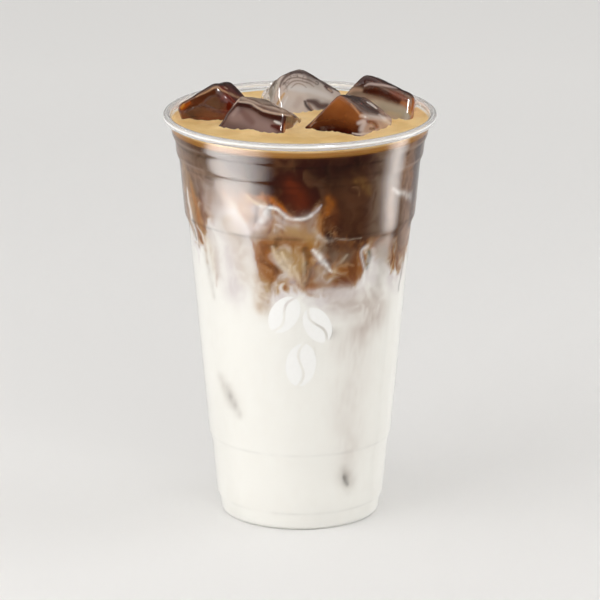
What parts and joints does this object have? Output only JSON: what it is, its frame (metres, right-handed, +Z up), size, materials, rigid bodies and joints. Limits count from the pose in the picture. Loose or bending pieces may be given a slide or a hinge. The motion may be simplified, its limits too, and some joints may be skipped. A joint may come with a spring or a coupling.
{
  "type": "iced latte",
  "caption": "Iced latte in a tall clear plastic cup with a rolled lip: milk below, dark coffee sinking into it, a thin tan crema and clear ice standing out of the top.",
  "frame": {"origin": "centre of the cup's foot, on the surface that the cup stands on", "axes": "+Z up along the cup's axis, -Y towards the front that the picture shows, +X to the right of that front"},
  "size_m": [0.0982, 0.0982, 0.1593],
  "materials": {
    "clear_plastic": "clear, thin-walled, glossy",
    "milk": "opaque liquid, wet",
    "coffee": "dark opaque liquid, wet",
    "crema": "smooth fine foam",
    "ice": "clear, melting, wet"
  },
  "bodies": {
    "root": {"cup": "clear_plastic", "milk": "milk", "coffee": "coffee", "crema": "crema", "ice_1": "ice", "ice_2": "ice", "ice_3": "ice", "ice_4": "ice", "ice_5": "ice"}
  },
  "joints": []
}
